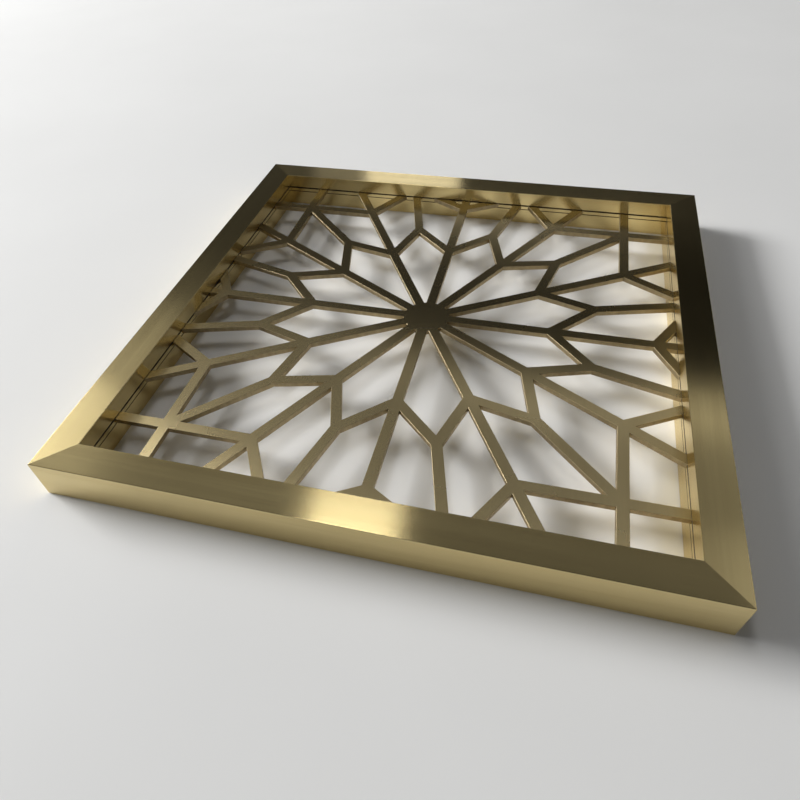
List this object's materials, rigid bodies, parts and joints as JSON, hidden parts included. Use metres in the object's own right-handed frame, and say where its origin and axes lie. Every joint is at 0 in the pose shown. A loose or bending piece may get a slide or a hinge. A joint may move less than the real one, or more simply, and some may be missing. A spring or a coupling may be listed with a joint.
{
  "type": "framed laser cut metal screen",
  "caption": "Square metal screen: a laser cut rosette grille clamped by box beads in a mitred frame folded from brushed, brass-toned sheet.",
  "frame": {"origin": "middle of the back face, on the plane that the screen lies on", "axes": "+Z out of the front face, +Y towards the top rail, +X towards the right stile seen from the front"},
  "size_m": [0.56, 0.56, 0.04],
  "materials": {
    "frame_sheet": "stainless sheet, brushed along each member, brass-toned vapour coating",
    "grille_plate": "laser cut stainless plate, finely brushed, brass-toned vapour coating",
    "zinc_plated_steel": "zinc plated"
  },
  "bodies": {
    "root": {"bottom_rail": "frame_sheet", "right_stile": "frame_sheet", "top_rail": "frame_sheet", "left_stile": "frame_sheet", "rosette_grille": "grille_plate", "bead_bottom": "frame_sheet", "bead_right": "frame_sheet", "bead_top": "frame_sheet", "bead_left": "frame_sheet", "cleat_bottom_left": "zinc_plated_steel", "cleat_bottom_right": "zinc_plated_steel", "cleat_top_right": "zinc_plated_steel", "cleat_top_left": "zinc_plated_steel", "weld_studs_bottom_left": "zinc_plated_steel", "weld_studs_bottom_right": "zinc_plated_steel", "weld_studs_top_right": "zinc_plated_steel", "weld_studs_top_left": "zinc_plated_steel", "flange_nuts_bottom_left": "zinc_plated_steel", "flange_nuts_bottom_right": "zinc_plated_steel", "flange_nuts_top_right": "zinc_plated_steel", "flange_nuts_top_left": "zinc_plated_steel", "press_nuts_bottom": "zinc_plated_steel", "press_nuts_right": "zinc_plated_steel", "press_nuts_top": "zinc_plated_steel", "press_nuts_left": "zinc_plated_steel", "bead_screws_bottom": "zinc_plated_steel", "bead_screws_right": "zinc_plated_steel", "bead_screws_top": "zinc_plated_steel", "bead_screws_left": "zinc_plated_steel", "fixing_nuts": "zinc_plated_steel"}
  },
  "joints": []
}
